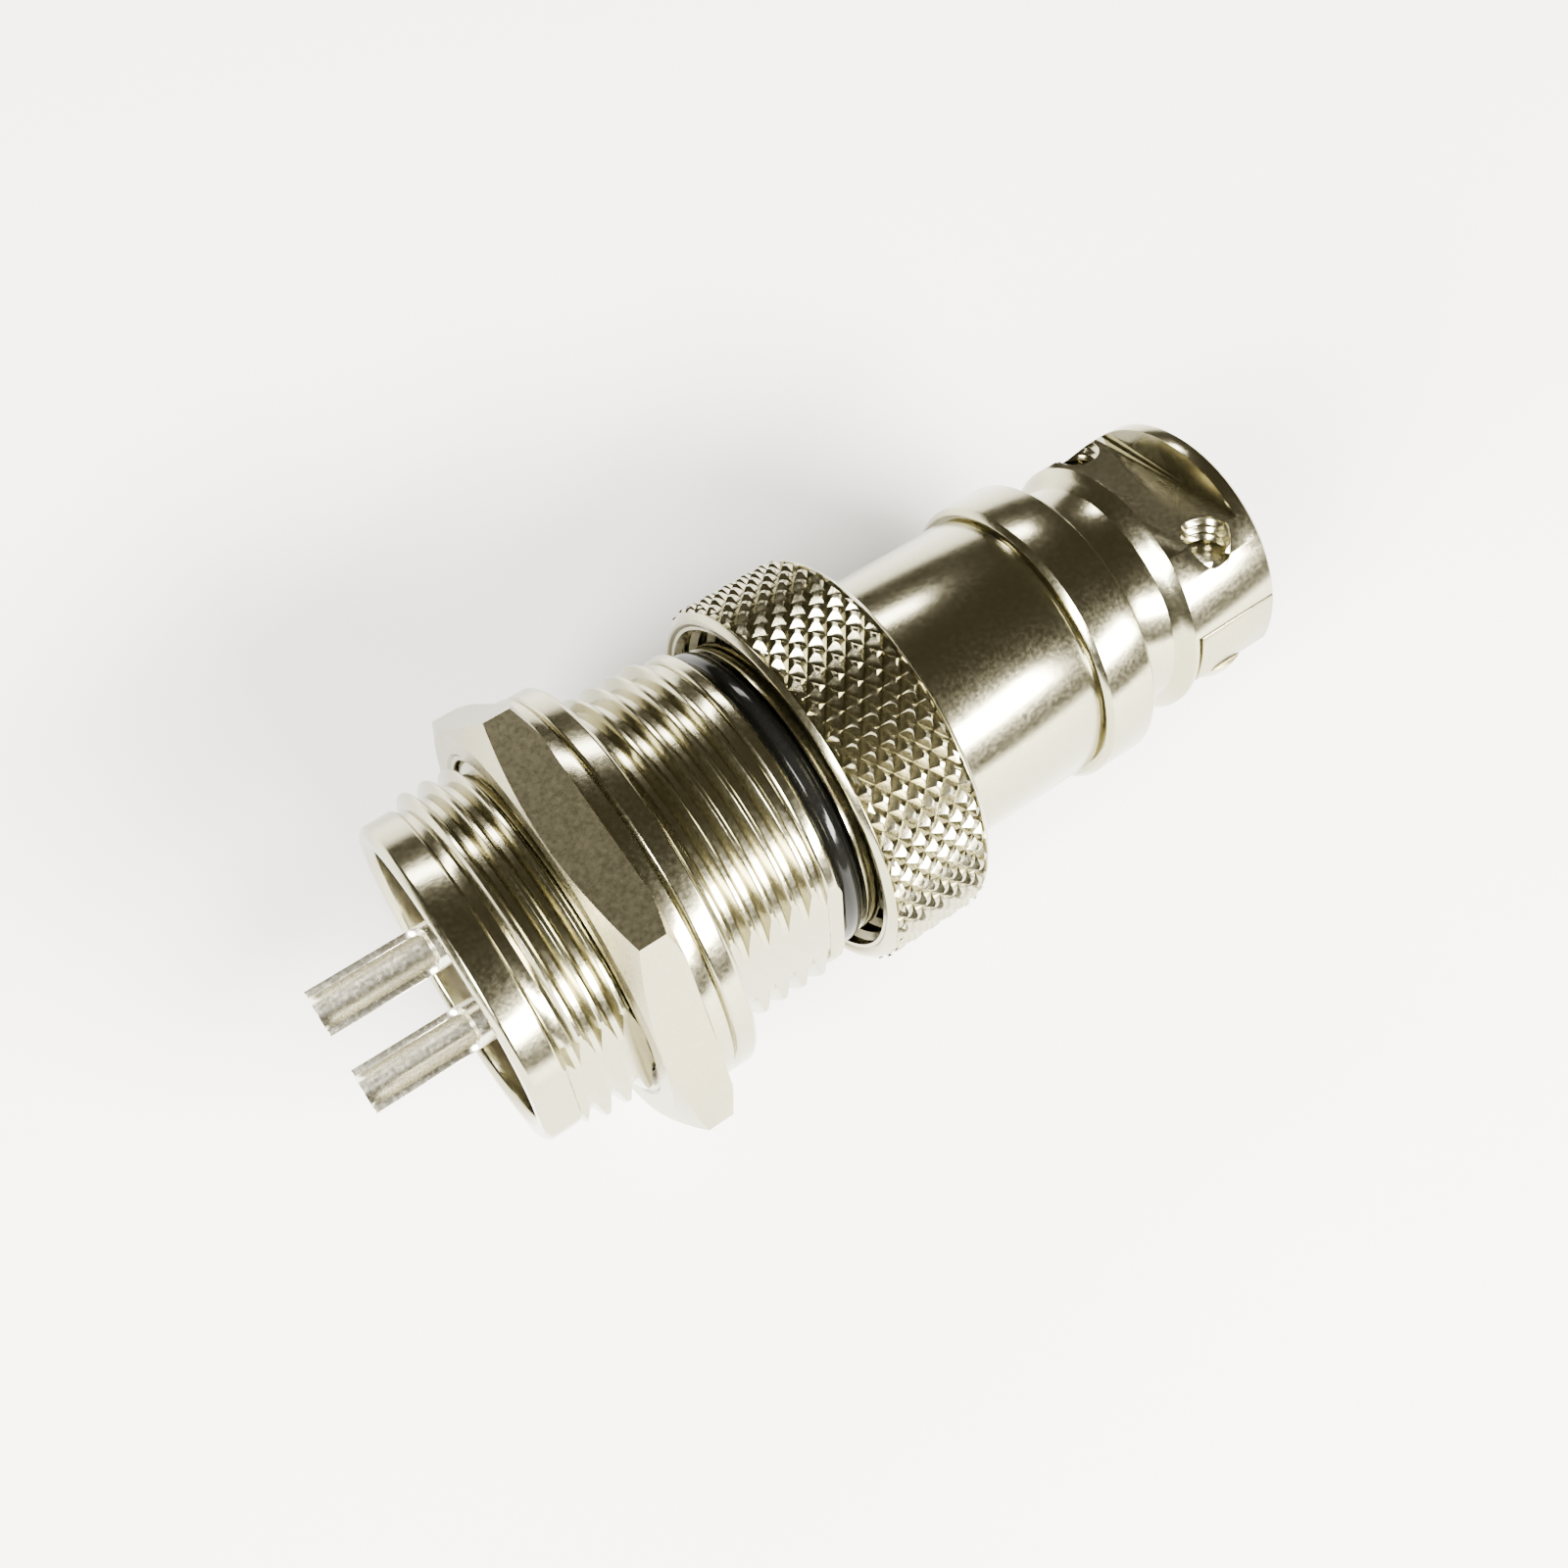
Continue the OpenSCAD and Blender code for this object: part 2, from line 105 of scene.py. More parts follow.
def edit(piece, select=True):
    clear_selection()
    piece.select_set(True)
    bpy.context.view_layer.objects.active = piece
    bpy.ops.object.mode_set(mode="EDIT")
    bpy.ops.mesh.select_mode(type="VERT")
    bpy.ops.mesh.select_all(action="SELECT" if select else "DESELECT")


def done():
    bpy.ops.object.mode_set(mode="OBJECT")


def line(name, points):
    """A line of edges through (x, r) points, standing on the axis towards +Z."""
    clear_selection()
    bpy.ops.mesh.primitive_plane_add(size=1)
    piece = bpy.context.object
    piece.name = piece.data.name = name
    edit(piece)
    bpy.ops.mesh.merge(type="CENTER")
    x, r = points[0]
    bpy.ops.transform.translate(value=(x, 0, r))
    for nx, nr in points[1:]:
        bpy.ops.mesh.extrude_vertices_move(TRANSFORM_OT_translate={"value": (nx - x, 0, nr - r)})
        x, r = nx, nr
    done()
    return piece


def soften(outline, reach, parts=3):
    """The outline with each corner rounded off over the given reach."""
    closed = outline[0] == outline[-1]
    corners = [Vector(p) for p in (outline[:-1] if closed else outline)]
    count = len(corners)
    soft = []
    for i, corner in enumerate(corners):
        if not closed and i in (0, count - 1):
            soft.append(corner)
            continue
        before = corners[i - 1] - corner
        after = corners[(i + 1) % count] - corner
        start = corner + before.normalized() * min(reach, 0.45 * before.length)
        end = corner + after.normalized() * min(reach, 0.45 * after.length)
        for k in range(parts + 1):
            t = k / parts
            soft.append(start.lerp(corner, t).lerp(corner.lerp(end, t), t))
    if closed:
        soft.append(soft[0])
    return [tuple(p) for p in soft]


def close_up(piece):
    """Merges doubles and turns the faces outwards."""
    edit(piece)
    bpy.ops.mesh.remove_doubles(threshold=MERGE)
    bpy.ops.mesh.normals_make_consistent(inside=False)
    done()


def turn(name, outline, steps=STEPS):
    """A turned piece: the outline spun once round the axis."""
    piece = line(name, outline)
    edit(piece)
    bpy.ops.mesh.spin(steps=steps, angle=2 * math.pi, center=(0, 0, 0), axis=(1, 0, 0))
    close_up(piece)
    return piece


def apply(piece, modifier):
    clear_selection()
    bpy.context.view_layer.objects.active = piece
    piece.select_set(True)
    bpy.ops.object.modifier_apply(modifier=modifier.name)


def cut(piece, *tools, operation="DIFFERENCE"):
    """Cuts a piece with tools that are used up by it."""
    for tool in tools:
        modifier = piece.modifiers.new("cut", "BOOLEAN")
        modifier.operation = operation
        modifier.solver = "EXACT"
        modifier.object = tool
        apply(piece, modifier)
        bpy.data.objects.remove(tool)
    return piece


def break_edges(piece, width, angle=30):
    """A small bevel on every sharp edge."""
    modifier = piece.modifiers.new("broken edges", "BEVEL")
    modifier.width = width
    modifier.segments = 2
    modifier.limit_method = "ANGLE"
    modifier.angle_limit = math.radians(angle)
    apply(piece, modifier)
    return piece


def join(name, *parts):
    clear_selection()
    for part in parts:
        part.select_set(True)
    bpy.context.view_layer.objects.active = parts[0]
    if len(parts) > 1:
        bpy.ops.object.join()
    parts[0].name = parts[0].data.name = name
    return parts[0]


def rotate_about_axis(piece, angle):
    """Turns a piece about X, from +Z towards +Y."""
    edit(piece)
    done()
    piece.data.transform(Matrix.Rotation(-angle, 4, "X"))


def block(name, low, high):
    """A box between two corners."""
    size = Vector(high) - Vector(low)
    clear_selection()
    bpy.ops.mesh.primitive_cube_add(size=1, location=(Vector(low) + Vector(high)) / 2, scale=size)
    bpy.ops.object.transform_apply(location=True, rotation=False, scale=True)
    piece = bpy.context.object
    piece.name = piece.data.name = name
    return piece


def stud(name, place, radius, low, high, steps=48):
    """A plain upright cylinder from height low to high, at (x, y)."""
    clear_selection()
    bpy.ops.mesh.primitive_cylinder_add(
        vertices=steps, radius=radius, depth=high - low, location=(place[0], place[1], (low + high) / 2)
    )
    bpy.ops.object.transform_apply(location=True, rotation=False, scale=False)
    piece = bpy.context.object
    piece.name = piece.data.name = name
    return piece


# ---- threads ----

OUTER_FORM = [(0.0, 0.0), (0.12, 0.0), (0.39, 0.93), (0.44, 1.0), (0.56, 1.0), (0.61, 0.93), (0.88, 0.0)]
INNER_FORM = [(0.0, 0.0), (0.07, 0.0), (0.36, 0.97), (0.42, 1.0), (0.58, 1.0), (0.64, 0.97), (0.93, 0.0)]


def thread(name, x0, x1, root, crest, far_r, form, pitch=PITCH, lead=0.3, steps=STEPS):
    """A closed sleeve with a right-handed thread on one side and far_r on the other.

    Every thread starts at a whole pitch from the origin, so that mating threads stay in mesh.
    """
    first = math.floor(x0 / pitch) - 1
    last = math.ceil(x1 / pitch) + 1
    points = [
        ((turn_number + along) * pitch, root + up * (crest - root))
        for turn_number in range(first, last)
        for along, up in form
    ]
    piece = line(name, points)
    modifier = piece.modifiers.new("thread", "SCREW")
    modifier.axis = "X"
    modifier.angle = 2 * math.pi
    modifier.screw_offset = pitch
    modifier.steps = modifier.render_steps = steps
    apply(piece, modifier)
    edit(piece)
    bpy.ops.mesh.remove_doubles(threshold=MERGE)
    bpy.ops.mesh.bisect(plane_co=(x0, 0, 0), plane_no=(1, 0, 0), clear_inner=True)
    bpy.ops.mesh.select_all(action="SELECT")
    bpy.ops.mesh.bisect(plane_co=(x1, 0, 0), plane_no=(1, 0, 0), clear_outer=True)
    done()
    outside = far_r < root
    for vertex in piece.data.vertices:
        r = math.hypot(vertex.co.y, vertex.co.z)
        ends = min(vertex.co.x - x0, x1 - vertex.co.x)
        if outside:
            held = min(r, root + 0.04 + ends / lead * (crest - root))
        else:
            held = max(r, crest - 0.04 - ends / lead * (crest - root))
        if abs(held - r) > MERGE:
            vertex.co.y *= held / r
            vertex.co.z *= held / r
    edit(piece)
    bpy.ops.mesh.select_mode(type="EDGE")
    bpy.ops.mesh.region_to_loop()
    bpy.ops.mesh.extrude_region_move(TRANSFORM_OT_translate={"value": (0, 0, 0)})
    mesh = bmesh.from_edit_mesh(piece.data)
    for vertex in mesh.verts:
        if vertex.select:
            r = math.hypot(vertex.co.y, vertex.co.z)
            vertex.co.y *= far_r / r
            vertex.co.z *= far_r / r
    bmesh.update_edit_mesh(piece.data)
    bpy.ops.mesh.bridge_edge_loops()
    bpy.ops.mesh.select_all(action="SELECT")
    bpy.ops.mesh.normals_make_consistent(inside=False)
    done()
    return piece


# ---- finishing ----


def finish(piece, material, body, slot, *nodes, smooth=32):
    """Brings a piece modelled in millimetres into the frame and dresses it."""
    clear_selection()
    piece.select_set(True)
    bpy.context.view_layer.objects.active = piece
    piece.scale = (MM, MM, MM)
    bpy.ops.object.transform_apply(location=True, rotation=True, scale=True)
    bpy.ops.object.shade_smooth_by_angle(angle=math.radians(smooth))
    piece.data.materials.clear()
    piece.data.materials.append(material)
    for face in piece.data.polygons:
        face.material_index = 0
    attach(piece, body)
    if nodes:
        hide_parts(*nodes)
    return piece


def copy_of(node, name, edge=0.0):
    """A node's own form as a piece in millimetres, with its triangles merged and its edges broken."""
    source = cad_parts[node]
    piece = bpy.data.objects.new(name, source.data.copy())
    bpy.context.scene.collection.objects.link(piece)
    piece.data.transform(Matrix.Scale(1 / MM, 4))
    edit(piece)
    bpy.ops.mesh.remove_doubles(threshold=1e-3)
    bpy.ops.mesh.dissolve_limited(angle_limit=math.radians(0.6))
    done()
    if edge:
        break_edges(piece, edge)
    return piece


# ---- materials ----


def node(tree, kind, place, **inputs):
    made = tree.nodes.new(kind)
    made.location = place
    for name, value in inputs.items():
        made.inputs[name.replace("_", " ")].default_value = value
    return made


def grain_group():
    """Fine grain of a plated surface: small pits and a slow change of gloss."""
    group = bpy.data.node_groups.new("plated grain", "ShaderNodeTree")
    for name, value in (("Grains per metre", 9000.0), ("Smooth", 0.15), ("Dull", 0.3), ("Stretch", 1.0)):
        socket = group.interface.new_socket(name, in_out="INPUT", socket_type="NodeSocketFloat")
        socket.default_value = value
    for name in ("Roughness", "Height", "Stain"):
        group.interface.new_socket(name, in_out="OUTPUT", socket_type="NodeSocketFloat")
    entry = group.nodes.new("NodeGroupInput")
    leave = group.nodes.new("NodeGroupOutput")
    place = group.nodes.new("ShaderNodeTexCoord")
    squeeze = group.nodes.new("ShaderNodeCombineXYZ")
    squeeze.inputs["Y"].default_value = squeeze.inputs["Z"].default_value = 1.0
    stretched = group.nodes.new("ShaderNodeVectorMath")
    stretched.operation = "MULTIPLY"
    fine = group.nodes.new("ShaderNodeTexNoise")
    fine.inputs["Detail"].default_value = 3.0
    fine.inputs["Roughness"].default_value = 0.6
    slow = group.nodes.new("ShaderNodeTexNoise")
    slow.inputs["Scale"].default_value = 5200.0
    slow.inputs["Detail"].default_value = 4.0
    gloss = group.nodes.new("ShaderNodeMapRange")
    gloss.inputs["From Min"].default_value = 0.3
    gloss.inputs["From Max"].default_value = 0.7
    link = group.links.new
    link(entry.outputs["Stretch"], squeeze.inputs["X"])
    link(place.outputs["Object"], stretched.inputs[0])
    link(squeeze.outputs["Vector"], stretched.inputs[1])
    link(stretched.outputs["Vector"], fine.inputs["Vector"])
    link(entry.outputs["Grains per metre"], fine.inputs["Scale"])
    link(place.outputs["Object"], slow.inputs["Vector"])
    link(slow.outputs["Fac"], gloss.inputs["Value"])
    link(entry.outputs["Smooth"], gloss.inputs["To Min"])
    link(entry.outputs["Dull"], gloss.inputs["To Max"])
    link(gloss.outputs["Result"], leave.inputs["Roughness"])
    link(fine.outputs["Fac"], leave.inputs["Height"])
    link(slow.outputs["Fac"], leave.inputs["Stain"])
    return group


def plated(name, group, colour, shade, grains, smooth, dull, depth, stretch=1.0):
    """A plated metal with fine grain and a slow stain between two tints."""
    material = bpy.data.materials.new(name)
    material.use_nodes = True
    tree = material.node_tree
    shader = tree.nodes["Principled BSDF"]
    shader.inputs["Metallic"].default_value = 1.0
    grain = tree.nodes.new("ShaderNodeGroup")
    grain.node_tree = group
    grain.inputs["Grains per metre"].default_value = grains
    grain.inputs["Smooth"].default_value = smooth
    grain.inputs["Dull"].default_value = dull
    grain.inputs["Stretch"].default_value = stretch
    tint = tree.nodes.new("ShaderNodeMix")
    tint.data_type = "RGBA"
    tint.inputs["A"].default_value = (*colour, 1)
    tint.inputs["B"].default_value = (*shade, 1)
    bump = tree.nodes.new("ShaderNodeBump")
    bump.inputs["Distance"].default_value = depth * MM
    bump.inputs["Strength"].default_value = 1.0
    link = tree.links.new
    link(grain.outputs["Stain"], tint.inputs["Factor"])
    link(tint.outputs["Result"], shader.inputs["Base Color"])
    link(grain.outputs["Roughness"], shader.inputs["Roughness"])
    link(grain.outputs["Height"], bump.inputs["Height"])
    link(bump.outputs["Normal"], shader.inputs["Normal"])
    return material


def moulded(name, group, colour, shade, grains, smooth, dull, depth):
    """A moulded or rubber surface with the same grain."""
    material = plated(name, group, colour, shade, grains, smooth, dull, depth)
    shader = material.node_tree.nodes["Principled BSDF"]
    shader.inputs["Metallic"].default_value = 0.0
    return material


GRAIN = grain_group()
BRIGHT_NICKEL = plated("bright nickel", GRAIN, (0.40, 0.378, 0.262), (0.34, 0.318, 0.210), 9000, 0.13, 0.20, 0.0022)
SATIN_NICKEL = plated("satin nickel", GRAIN, (0.38, 0.355, 0.240), (0.31, 0.285, 0.185), 5200, 0.26, 0.33, 0.0060)
SCREW_NICKEL = plated("screw nickel", GRAIN, (0.50, 0.48, 0.36), (0.42, 0.40, 0.29), 12000, 0.14, 0.24, 0.0012)
CONTACT_SILVER = plated("silvered contact", GRAIN, (0.74, 0.715, 0.60), (0.64, 0.61, 0.49), 14000, 0.20, 0.30, 0.0008)
SPRING_STEEL = plated("spring steel", GRAIN, (0.52, 0.50, 0.44), (0.42, 0.40, 0.35), 9000, 0.22, 0.34, 0.0015)
PHENOLIC = moulded("dark phenolic", GRAIN, (0.026, 0.019, 0.014), (0.042, 0.029, 0.020), 9000, 0.42, 0.58, 0.0030)
PHENOLIC.node_tree.nodes["Principled BSDF"].inputs["Specular IOR Level"].default_value = 0.3
RUBBER = moulded("glossy black rubber", GRAIN, (0.003, 0.003, 0.003), (0.006, 0.006, 0.005), 5000, 0.10, 0.16, 0.0010)
RUBBER.node_tree.nodes["Principled BSDF"].inputs["Specular IOR Level"].default_value = 0.16


# ---- receptacle ----


def flat_tool(x0, x1):
    """A block that mills the flat along a thread between two places."""
    tool = block("flat cutter", (x0, -THREAD_R, FLAT_FROM_AXIS), (x1, THREAD_R, FLANGE_R + 1))
    rotate_about_axis(tool, -FLAT_TURN)
    return tool


def receptacle_shell():
    rear_bore, ledge, front_bore = 6.55, 5.85, 6.58
    core = 7.1
    rear_rim_end = SHELL_REAR + 1.7
    front_rim = SHELL_FRONT - 0.75
    groove = INSERT_REAR
    body = turn("shell body", soften([
        (SHELL_REAR, rear_bore + 0.25), (SHELL_REAR, 7.35), (SHELL_REAR + 0.25, 7.6),
        (rear_rim_end - 0.15, 7.6), (rear_rim_end, 7.45), (rear_rim_end, core), (0.0, core),
        (0.0, FLANGE_R - 0.2), (0.2, FLANGE_R), (FLANGE_T - 0.2, FLANGE_R), (FLANGE_T, FLANGE_R - 0.2),
        (FLANGE_T, core), (front_rim, core), (front_rim, FRONT_RIM_R - 0.15), (front_rim + 0.15, FRONT_RIM_R),
        (SHELL_FRONT - 0.2, FRONT_RIM_R), (SHELL_FRONT, FRONT_RIM_R - 0.2),
        (SHELL_FRONT, front_bore + 0.25), (SHELL_FRONT - 0.25, front_bore), (0.0, front_bore),
        (0.0, ledge), (INSERT_FRONT - 1.2, ledge), (INSERT_FRONT - 1.2, rear_bore), (groove, rear_bore),
        (groove, rear_bore + 0.3), (groove - 0.6, rear_bore + 0.3), (groove - 0.6, rear_bore),
        (SHELL_REAR + 0.25, rear_bore), (SHELL_REAR, rear_bore + 0.25)], 0.07))
    cut(body, flat_tool(SHELL_REAR - 1, -0.001), flat_tool(FLANGE_T + 0.001, SHELL_FRONT + 1))
    rear = thread("rear thread", rear_rim_end - 0.05, 0.05, ROOT_R, THREAD_R, core + 0.03, OUTER_FORM, lead=0.45)
    cut(rear, flat_tool(SHELL_REAR - 1, 1))
    front = thread("front thread", FLANGE_T - 0.05, front_rim + 0.05, ROOT_R, THREAD_R, core + 0.03, OUTER_FORM,
                   lead=0.4)
    cut(front, flat_tool(0, SHELL_FRONT + 1))
    key = block("key", (0.2, -0.9, front_bore - 0.45), (SHELL_FRONT - 2, 0.9, front_bore + 0.2))
    break_edges(key, 0.1)
    rotate_about_axis(key, math.radians(150))
    piece = join("threaded_shell", body, rear, front, key)
    finish(piece, BRIGHT_NICKEL, "receptacle", "nickel_shell", "receptacle_shell")


def panel_nut():
    half = (NUT_CORNER_R * math.cos(math.radians(30)))
    clear_selection()
    bpy.ops.mesh.primitive_cylinder_add(
        vertices=6, radius=NUT_CORNER_R, depth=NUT_FRONT - NUT_REAR,
        location=((NUT_FRONT + NUT_REAR) / 2, 0, 0), rotation=(0, math.pi / 2, 0))
    bpy.ops.object.transform_apply(location=True, rotation=True, scale=True)
    blank = bpy.context.object
    cones = turn("nut cones", [
        (NUT_REAR, 0), (NUT_REAR, half - 0.1), (NUT_REAR + 0.7, NUT_CORNER_R + 0.01),
        (NUT_FRONT - 0.4, NUT_CORNER_R + 0.01), (NUT_FRONT, NUT_CORNER_R - 0.7), (NUT_FRONT, 0)])
    cut(blank, cones, operation="INTERSECT")
    bore = turn("nut bore", [
        (NUT_REAR - 1, 0), (NUT_REAR - 1, THREAD_R + 0.4), (NUT_REAR, THREAD_R + 0.4),
        (NUT_REAR + 0.25, THREAD_R + 0.15), (NUT_FRONT - 0.25, THREAD_R + 0.15),
        (NUT_FRONT, THREAD_R + 0.4), (NUT_FRONT + 1, THREAD_R + 0.4), (NUT_FRONT + 1, 0)])
    cut(blank, bore)
    break_edges(blank, 0.07, 20)
    inner = thread("nut thread", NUT_REAR + 0.1, NUT_FRONT - 0.1, ROOT_R + 0.08, THREAD_R + 0.08,
                   THREAD_R + 0.25, INNER_FORM, lead=0.35)
    piece = join("hexagon_nut", blank, inner)
    finish(piece, SATIN_NICKEL, "nut", "nickel_hardware", "panel_nut")


def panel_washer():
    piece = turn("flat_washer", soften([
        (WASHER_REAR, THREAD_R + 0.08), (WASHER_REAR, WASHER_R), (WASHER_FRONT, WASHER_R),
        (WASHER_FRONT, THREAD_R + 0.08), (WASHER_REAR, THREAD_R + 0.08)], 0.2))
    finish(piece, BRIGHT_NICKEL, "washer", "nickel_hardware", "panel_washer")


def small_inner_pieces():
    for made in (
        ("receptacle_insert", "contact_insert", PHENOLIC, "receptacle", "insulator", 0.05),
        ("receptacle_split_ring", "rear_split_ring", SPRING_STEEL, "receptacle", "spring_steel", 0.05),
        ("upper_pin", "upper_contact_pin", CONTACT_SILVER, "receptacle", "contact", 0.04),
        ("lower_pin", "lower_contact_pin", CONTACT_SILVER, "receptacle", "contact", 0.04),
        ("plug_insert", "socket_insert", PHENOLIC, "plug", "insulator", 0.05),
        ("plug_split_ring", "plug_retaining_ring", SPRING_STEEL, "plug", "spring_steel", 0.05),
        ("upper_socket", "upper_contact_socket", CONTACT_SILVER, "plug", "contact", 0.04),
        ("lower_socket", "lower_contact_socket", CONTACT_SILVER, "plug", "contact", 0.04),
        ("plug_sleeve", "keyed_sleeve", BRIGHT_NICKEL, "plug", "nickel_shell", 0.06),
        ("coupling_snap_ring", "snap_ring", SPRING_STEEL, "ring_slider", "spring_steel", 0.05),
    ):
        source, name, material, body, slot, edge = made
        finish(copy_of(source, name, edge), material, body, slot, source)


def sealing_ring():
    inner = 6.51
    piece = turn("rubber_seal", soften([
        (SEAL_REAR, inner), (SEAL_REAR, SEAL_R - 0.45), (SEAL_REAR + 0.4, SEAL_R),
        (SEAL_FRONT - 0.4, SEAL_R), (SEAL_FRONT, SEAL_R - 0.45), (SEAL_FRONT, inner),
        (SEAL_REAR, inner)], 0.3, 5))
    finish(piece, RUBBER, "plug", "seal", "sealing_ring")


# ---- coupling ring ----


def knurl(x0, x1, root, crest, around, cells):
    """A band of raised diamonds: squares poked at their middles and joined across their sides."""
    clear_selection()
    bpy.ops.mesh.primitive_cylinder_add(
        vertices=around, radius=root, depth=x1 - x0, end_fill_type="NOTHING",
        location=((x0 + x1) / 2, 0, 0), rotation=(0, math.pi / 2, 0))
    bpy.ops.object.transform_apply(location=True, rotation=True, scale=True)
    band = bpy.context.object
    for k in range(1, cells):
        edit(band)
        x = x0 + (x1 - x0) * k / cells
        bpy.ops.mesh.bisect(plane_co=(x, 0, 0), plane_no=(1, 0, 0))
        done()
    edit(band)
    mesh = bmesh.from_edit_mesh(band.data)
    rows = set(mesh.edges)
    corners = set(mesh.verts)
    bpy.ops.mesh.poke()
    mesh = bmesh.from_edit_mesh(band.data)
    for vertex in mesh.verts:
        r = math.hypot(vertex.co.y, vertex.co.z)
        vertex.co.y *= root / r
        vertex.co.z *= root / r
    lengths = sorted({round(face.calc_area(), 6) for face in mesh.faces})
    for edge in mesh.edges:
        a, b = edge.verts
        along = abs(a.co.x - b.co.x)
        angle = abs(math.remainder(math.atan2(a.co.z, a.co.y) - math.atan2(b.co.z, b.co.y), 2 * math.pi))
        straight = along < 1e-4 or angle < 1e-4
        edge.select_set(straight and not edge.is_boundary)
    bmesh.update_edit_mesh(band.data)
    bpy.ops.mesh.select_mode(type="EDGE")
    mesh = bmesh.from_edit_mesh(band.data)
    bpy.ops.mesh.dissolve_edges(use_verts=False, use_face_split=False)
    bpy.ops.mesh.select_mode(type="FACE")
    bpy.ops.mesh.select_all(action="SELECT")
    bpy.ops.mesh.normals_make_consistent(inside=False)
    bpy.ops.mesh.inset(thickness=0.2, depth=0.72 * (crest - root), use_individual=True)
    bpy.ops.mesh.inset(thickness=0.1, depth=0.24 * (crest - root), use_individual=True)
    done()
    return band


def coupling_ring():
    edge = 0.3
    root = RING_R - 0.42
    bore = THREAD_R + 0.15
    neck = 6.8
    body = turn("ring body", soften([
        (RING_REAR, bore + 0.2), (RING_REAR, RING_R - 0.45), (RING_REAR + 0.25, RING_R - 0.2),
        (RING_REAR + edge, RING_R - 0.2), (RING_REAR + edge + 0.05, root - 0.05),
        (RING_FRONT - edge - 0.05, root - 0.05), (RING_FRONT - edge, RING_R - 0.2),
        (RING_FRONT - 0.25, RING_R - 0.2), (RING_FRONT, RING_R - 0.45),
        (RING_FRONT, neck), (SNAP_FRONT, neck), (SNAP_FRONT, SNAP_R + 0.08), (SNAP_REAR, SNAP_R + 0.08),
        (SNAP_REAR, bore), (RING_REAR + 0.2, bore), (RING_REAR, bore + 0.2)], 0.06))
    band = knurl(RING_REAR + edge, RING_FRONT - edge, root, RING_R - 0.01, 42, 5)
    inner = thread("ring thread", RING_REAR + 0.12, RING_REAR + 3.4, FRONT_RIM_R + 0.08, THREAD_R + 0.08,
                   bore + 0.05, INNER_FORM, lead=0.45)
    piece = join("knurled_ring", body, band, inner)
    finish(piece, BRIGHT_NICKEL, "ring", "nickel_shell", "coupling_ring")


# ---- back shell and clamp ----

CLAMP_TURN = math.radians(24)  # from +Z towards +Y
HEAD_L = 5.0
HEAD_R = 6.4
HEAD_FLAT = 4.6
END_RIM = 0.9
SCREW_GAP = 8.6
SCREW_R = 1.1


def back_shell():
    """The turned shell with its milled flat and the threads of its two tapped holes."""
    piece = copy_of("back_shell", "back_shell_body", 0.06)
    head_x = BACK_FRONT - HEAD_L
    flat = block("flat cutter", (head_x, -HEAD_R, HEAD_FLAT), (BACK_FRONT - END_RIM, HEAD_R, HEAD_R + 1))
    rotate_about_axis(flat, CLAMP_TURN)
    cut(piece, flat)
    holes = [tapped_hole(side) for side in (-1, 1)]
    piece = join("back_shell_body", piece, *holes)
    finish(piece, BRIGHT_NICKEL, "plug", "nickel_shell", "back_shell")


def tapped_hole(side):
    """The thread inside a clamp screw's hole, from the screw's tip up to the flat."""
    low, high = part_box("near_clamp_screw")
    screw_x = (low.x + high.x) / 2 / MM
    sleeve = thread("hole thread", HEAD_FLAT - 1.5, HEAD_R, SCREW_R - 0.14, SCREW_R + 0.06, SCREW_R + 0.12,
                    INNER_FORM, pitch=SCREW_PITCH, lead=0.2, steps=40)
    sleeve.data.transform(Matrix.Rotation(-math.pi / 2, 4, "Y"))
    sleeve.data.transform(Matrix.Translation((screw_x, side * SCREW_GAP / 2, 0)))
    keep = block("hole limit", (BACK_FRONT - HEAD_L, -HEAD_R, 0), (BACK_FRONT - END_RIM, HEAD_R, HEAD_FLAT - 0.02))
    head = stud("head limit", (0, 0), HEAD_R - 0.05, 0, BACK_FRONT, steps=96)
    head.data.transform(Matrix.Rotation(math.pi / 2, 4, "Y"))
    cut(sleeve, keep, head, operation="INTERSECT")
    rotate_about_axis(sleeve, CLAMP_TURN)
    return sleeve


def cable_clamp():
    piece = copy_of("cable_clamp", "clamp_saddle", 0.06)
    finish(piece, SATIN_NICKEL, "clamp", "nickel_hardware", "cable_clamp")
    for side, body in (("near", "near_screw"), ("far", "far_screw")):
        screw = copy_of(f"{side}_clamp_screw", f"{side}_domed_screw", 0.04)
        finish(screw, SCREW_NICKEL, body, "screw", f"{side}_clamp_screw")


# ---- floor, light and camera ----


def floor():
    clear_selection()
    bpy.ops.mesh.primitive_plane_add(size=4, location=(0, 0, cad_low.z - 0.00002))
    plane = bpy.context.object
    plane.name = "floor"
    material = bpy.data.materials.new("pale table")
    material.use_nodes = True
    shader = material.node_tree.nodes["Principled BSDF"]
    shader.inputs["Base Color"].default_value = (0.96, 0.96, 0.95, 1)
    shader.inputs["Roughness"].default_value = 0.6
    plane.data.materials.append(material)


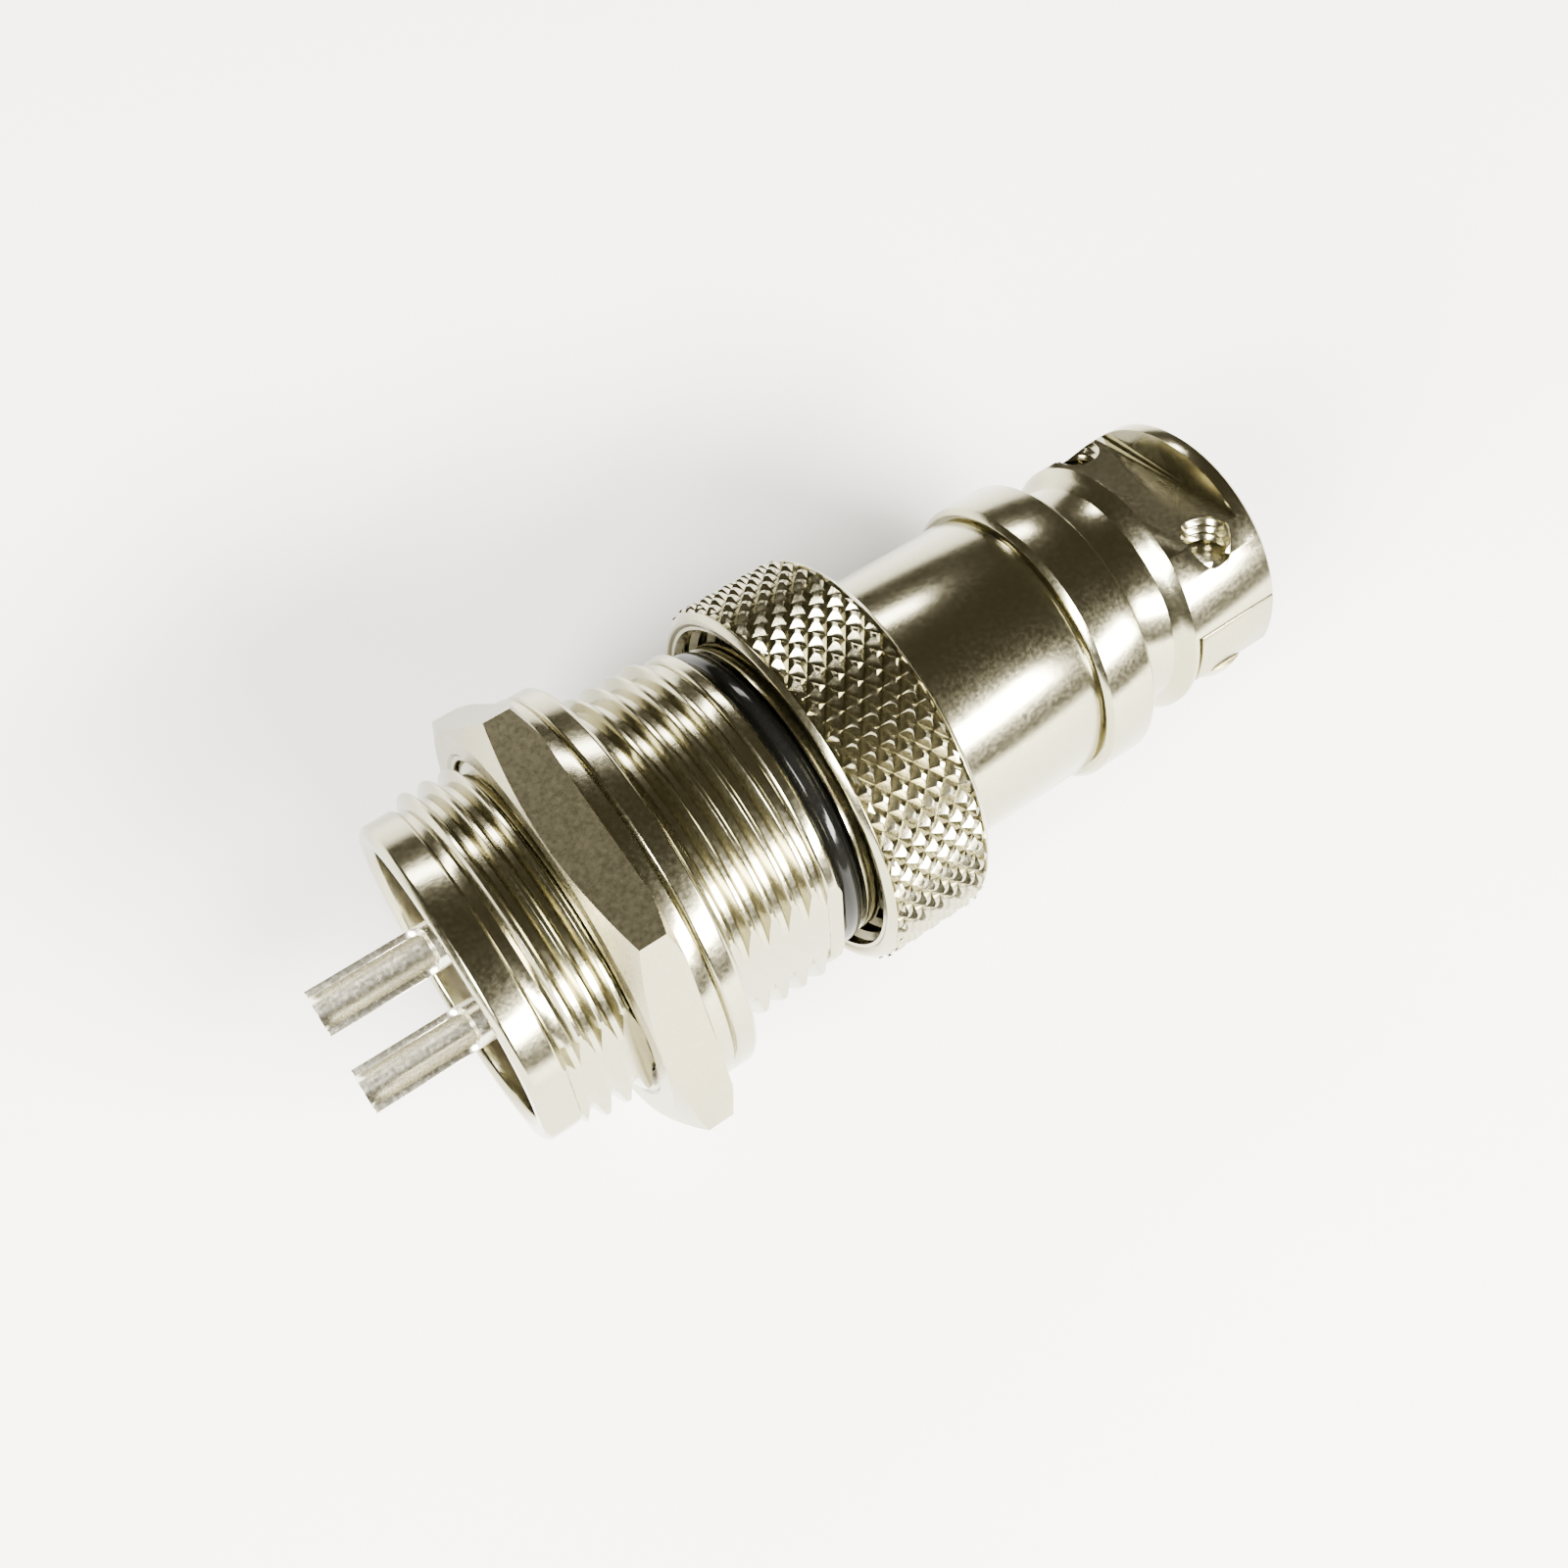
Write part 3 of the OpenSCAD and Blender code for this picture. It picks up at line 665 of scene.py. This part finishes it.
def softbox(name, place, size, power, colour=(1, 1, 1)):
    """A square area light that looks at the connector's middle."""
    light = bpy.data.lights.new(name, "AREA")
    light.shape = "RECTANGLE"
    light.size, light.size_y = size
    light.energy = power
    light.color = colour
    lamp = bpy.data.objects.new(name, light)
    bpy.context.scene.collection.objects.link(lamp)
    lamp.location = place
    lamp.rotation_euler = (Vector(place) - Vector((0.009, 0, 0))).to_track_quat("Z", "Y").to_euler()


def studio():
    """Warm brown surroundings for the metal to mirror, behind a pale backdrop, and three softboxes."""
    world = bpy.data.worlds.new("studio")
    world.use_nodes = True
    tree = world.node_tree
    room = tree.nodes["Background"]
    room.inputs["Color"].default_value = (0.25, 0.22, 0.14, 1)
    room.inputs["Strength"].default_value = 0.42
    backdrop = node(tree, "ShaderNodeBackground", (0, -200), Color=(0.93, 0.93, 0.92, 1), Strength=1.0)
    seen = node(tree, "ShaderNodeLightPath", (-200, 200))
    either = node(tree, "ShaderNodeMixShader", (200, 0))
    link = tree.links.new
    link(seen.outputs["Is Camera Ray"], either.inputs["Fac"])
    link(room.outputs["Background"], either.inputs[1])
    link(backdrop.outputs["Background"], either.inputs[2])
    link(either.outputs["Shader"], tree.nodes["World Output"].inputs["Surface"])
    bpy.context.scene.world = world
    softbox("front", (0.13, -0.34, 0.22), (0.36, 0.10), 18.0, (1.0, 0.97, 0.90))
    softbox("left", (-0.34, -0.10, 0.22), (0.14, 0.24), 9.0, (1.0, 0.98, 0.93))
    softbox("behind", (0.10, 0.42, 0.30), (0.30, 0.08), 2.5, (1.0, 0.97, 0.92))


def camera():
    azimuth, elevation, roll = math.radians(-47.2), math.radians(65.8), math.radians(13.2)
    distance = 0.0762
    aim = Vector((0.00906, 0, 0))
    back = Vector((math.sin(azimuth) * math.cos(elevation), -math.cos(azimuth) * math.cos(elevation),
                   math.sin(elevation)))
    lens = bpy.data.cameras.new("camera")
    lens.lens = 39.2
    lens.sensor_width = 36
    lens.clip_start = 0.001
    seat = bpy.data.objects.new("camera", lens)
    bpy.context.scene.collection.objects.link(seat)
    seat.matrix_world = (Matrix.Translation(aim + back * distance)
                         @ back.to_track_quat("Z", "Y").to_matrix().to_4x4()
                         @ Matrix.Rotation(roll, 4, "Z"))
    bpy.context.scene.camera = seat


camera()
floor()
studio()
receptacle_shell()
panel_nut()
panel_washer()
small_inner_pieces()
sealing_ring()
coupling_ring()
back_shell()
cable_clamp()
